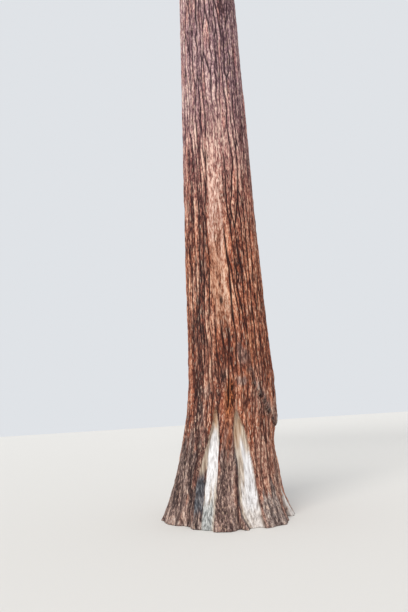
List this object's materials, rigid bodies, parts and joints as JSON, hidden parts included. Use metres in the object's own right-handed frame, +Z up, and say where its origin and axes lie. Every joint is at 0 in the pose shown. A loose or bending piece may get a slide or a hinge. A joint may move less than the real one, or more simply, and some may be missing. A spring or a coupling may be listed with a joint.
{
  "type": "giant sequoia tree",
  "caption": "Whole giant sequoia tree: tall straight trunk with a fluted root flare and two bare-wood scars, boughs and a rounded cone of needle foliage.",
  "frame": {"origin": "on the flat cut at ground level, under the middle of the root flare", "axes": "+Z up along the trunk; -Y is the side with the two scars, which the picture shows; +X is to the right in the picture"},
  "size_m": [10.5805, 10.1722, 38.981],
  "materials": {
    "bark": "fibrous, furrowed, matt",
    "bough_bark": "rough, matt",
    "needles": "matt needle sprays"
  },
  "bodies": {
    "root": {"trunk": "bark", "bough_01": "bough_bark", "bough_02": "bough_bark", "bough_03": "bough_bark", "bough_04": "bough_bark", "bough_05": "bough_bark", "bough_06": "bough_bark", "bough_07": "bough_bark", "bough_08": "bough_bark", "bough_09": "bough_bark", "bough_10": "bough_bark", "bough_11": "bough_bark", "bough_12": "bough_bark", "bough_13": "bough_bark", "bough_14": "bough_bark", "bough_15": "bough_bark", "bough_16": "bough_bark", "bough_17": "bough_bark", "bough_18": "bough_bark", "bough_19": "bough_bark", "bough_20": "bough_bark", "foliage_01": "needles", "foliage_02": "needles", "foliage_03": "needles", "foliage_04": "needles", "foliage_05": "needles", "foliage_06": "needles", "foliage_07": "needles", "foliage_08": "needles", "foliage_09": "needles", "foliage_10": "needles", "foliage_11": "needles", "foliage_12": "needles", "foliage_13": "needles", "foliage_14": "needles", "foliage_15": "needles", "foliage_16": "needles", "foliage_17": "needles", "foliage_18": "needles", "foliage_19": "needles", "foliage_20": "needles", "foliage_21": "needles", "foliage_22": "needles", "foliage_23": "needles", "foliage_24": "needles", "foliage_25": "needles", "foliage_26": "needles", "foliage_27": "needles", "foliage_28": "needles", "foliage_29": "needles", "foliage_30": "needles", "foliage_31": "needles"}
  },
  "joints": []
}
